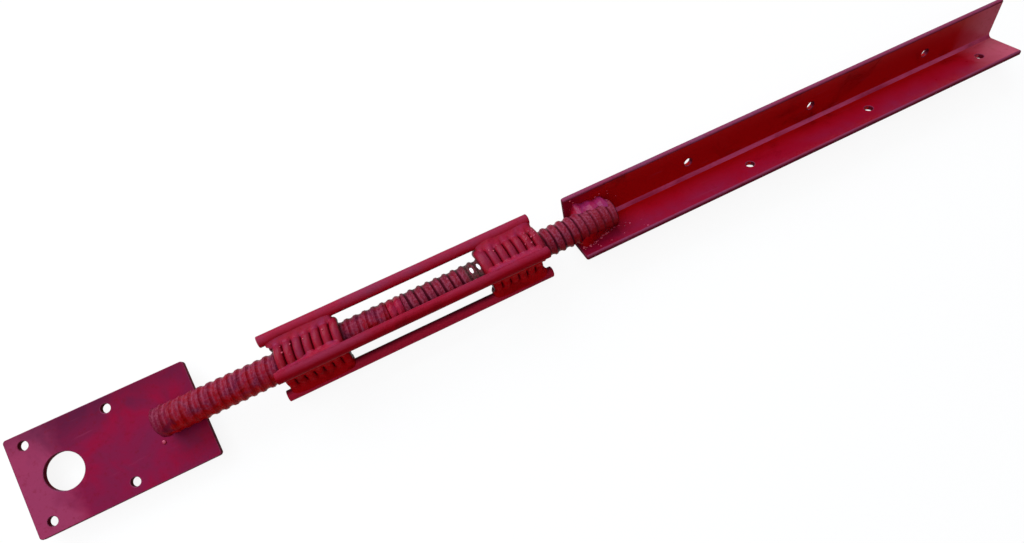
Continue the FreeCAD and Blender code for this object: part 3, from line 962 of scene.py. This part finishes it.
# Floor, light and surroundings: the floor's reach, and the share of it that looks white to the eye
FLOOR_REACH = 6
FLOOR_GLOW = 0.9
WHITE = (1, 1, 1, 1)
FLOOR_GREY = (0.9, 0.9, 0.9, 1)
SKY_BLUE = (0.86, 0.92, 1.0, 1)
SKY_STRENGTH = 0.12
COOL = (0.84, 0.91, 1.0)

# Soft boxes aimed at the middle of the part's base: place and size in metres, power in watts and colour
SOFT_BOXES = {
    "back_light": ((-0.6, 1.45, 1.1), (2.2, 1.2), 50, COOL),
    "top_light": ((-0.6, -0.1, 1.9), (2.4, 2.0), 31, (0.95, 0.97, 1.0)),
    "horizon_light": ((1.9, 1.5, 0.35), (1.6, 0.5), 3.5, COOL),
    "front_light": ((-0.1, -1.7, 1.2), (1.6, 0.8), 2, (1.0, 0.97, 0.93)),
}


def seen_or_mirrored(tree):
    """One for rays from the eye and rays mirrored or passed on by the part, zero for those that light it."""
    path = add_node(tree, "ShaderNodeLightPath").outputs
    mirrored = combine(tree, "ADD", path["Is Glossy Ray"], path["Is Transmission Ray"])
    return combine(tree, "ADD", path["Is Camera Ray"], mirrored, clamp=True)


def build_floor():
    """A pale floor that looks white to the eye and in reflections, and still takes a light shadow."""
    mesh = bpy.data.meshes.new("floor")
    corners = [(-FLOOR_REACH, -FLOOR_REACH, 0), (FLOOR_REACH, -FLOOR_REACH, 0),
               (FLOOR_REACH, FLOOR_REACH, 0), (-FLOOR_REACH, FLOOR_REACH, 0)]
    mesh.from_pydata(corners, [], [(0, 1, 2, 3)])
    floor = bpy.data.objects.new("floor", mesh)
    bpy.context.scene.collection.objects.link(floor)
    material = bpy.data.materials.new("floor_white")
    material.use_nodes = True
    tree = material.node_tree
    tree.nodes.remove(tree.nodes["Principled BSDF"])
    matt = add_node(tree, "ShaderNodeBsdfDiffuse", {"Color": FLOOR_GREY}).outputs["BSDF"]
    glow = add_node(tree, "ShaderNodeEmission", {"Color": WHITE, "Strength": 1.0}).outputs["Emission"]
    share = combine(tree, "MULTIPLY", seen_or_mirrored(tree), FLOOR_GLOW)
    mixed = add_node(tree, "ShaderNodeMixShader", {0: share, 1: matt, 2: glow}).outputs["Shader"]
    tree.links.new(mixed, tree.nodes["Material Output"].inputs["Surface"])
    mesh.materials.append(material)


def soft_box(name, place, size, power, colour):
    """A rectangular light that faces the middle of the part's base."""
    data = bpy.data.lights.new(name, "AREA")
    data.shape = "RECTANGLE"
    data.size, data.size_y = size
    data.energy = power
    data.color = colour
    lamp = bpy.data.objects.new(name, data)
    lamp.location = place
    lamp.rotation_euler = (-Vector(place)).to_track_quat("-Z", "Y").to_euler()
    bpy.context.scene.collection.objects.link(lamp)


def build_light():
    """The soft boxes, and surroundings that light the part dimly and look white behind it."""
    for name, box in SOFT_BOXES.items():
        soft_box(name, *box)
    world = bpy.data.worlds.new("studio")
    bpy.context.scene.world = world
    world.use_nodes = True
    tree = world.node_tree
    tree.nodes.remove(tree.nodes["Background"])
    dim = add_node(tree, "ShaderNodeBackground", {"Color": SKY_BLUE, "Strength": SKY_STRENGTH})
    white = add_node(tree, "ShaderNodeBackground", {"Color": WHITE, "Strength": 1.0})
    mixed = add_node(tree, "ShaderNodeMixShader", {
        0: seen_or_mirrored(tree), 1: dim.outputs["Background"], 2: white.outputs["Background"]})
    tree.links.new(mixed.outputs["Shader"], tree.nodes["World Output"].inputs["Surface"])
    bpy.context.scene.view_settings.view_transform = "Standard"


threaded_rod("plate_rod", "plate_end", PLATE_ROD_LOOK)
threaded_rod("angle_rod", "angle_end", ANGLE_ROD_LOOK)
stop_ring("plate_stop_ring", PLATE_STOP, 2.0, "plate_stop", "plate_rod_stop")
stop_ring("angle_stop_ring", ANGLE_STOP, 5.0, "angle_stop", "angle_rod_stop")
for nut_side in NUTS:
    wound_nut(nut_side)
for number, strut in enumerate(STRUTS):
    strut_bar(strut)
    nut_welds("left", strut, 10.0*number)
    nut_welds("right", strut, 10.0*number + 5)
for number, weld_name in enumerate(END_WELDS):
    end_weld(weld_name, weld_name.split("_")[0] + "_end", number + 1.0)
spatter()
dressed_copy("plate_sheet", "stake_plate", "plate_end", [PLATE_LOOK, EDGE_LOOK], plate_look)
dressed_copy("angle_bar", "angle_iron", "angle_end", [ANGLE_LOOK, EDGE_LOOK, ROOT_HIGHLIGHT_LOOK], angle_look)
build_camera()
build_floor()
build_light()
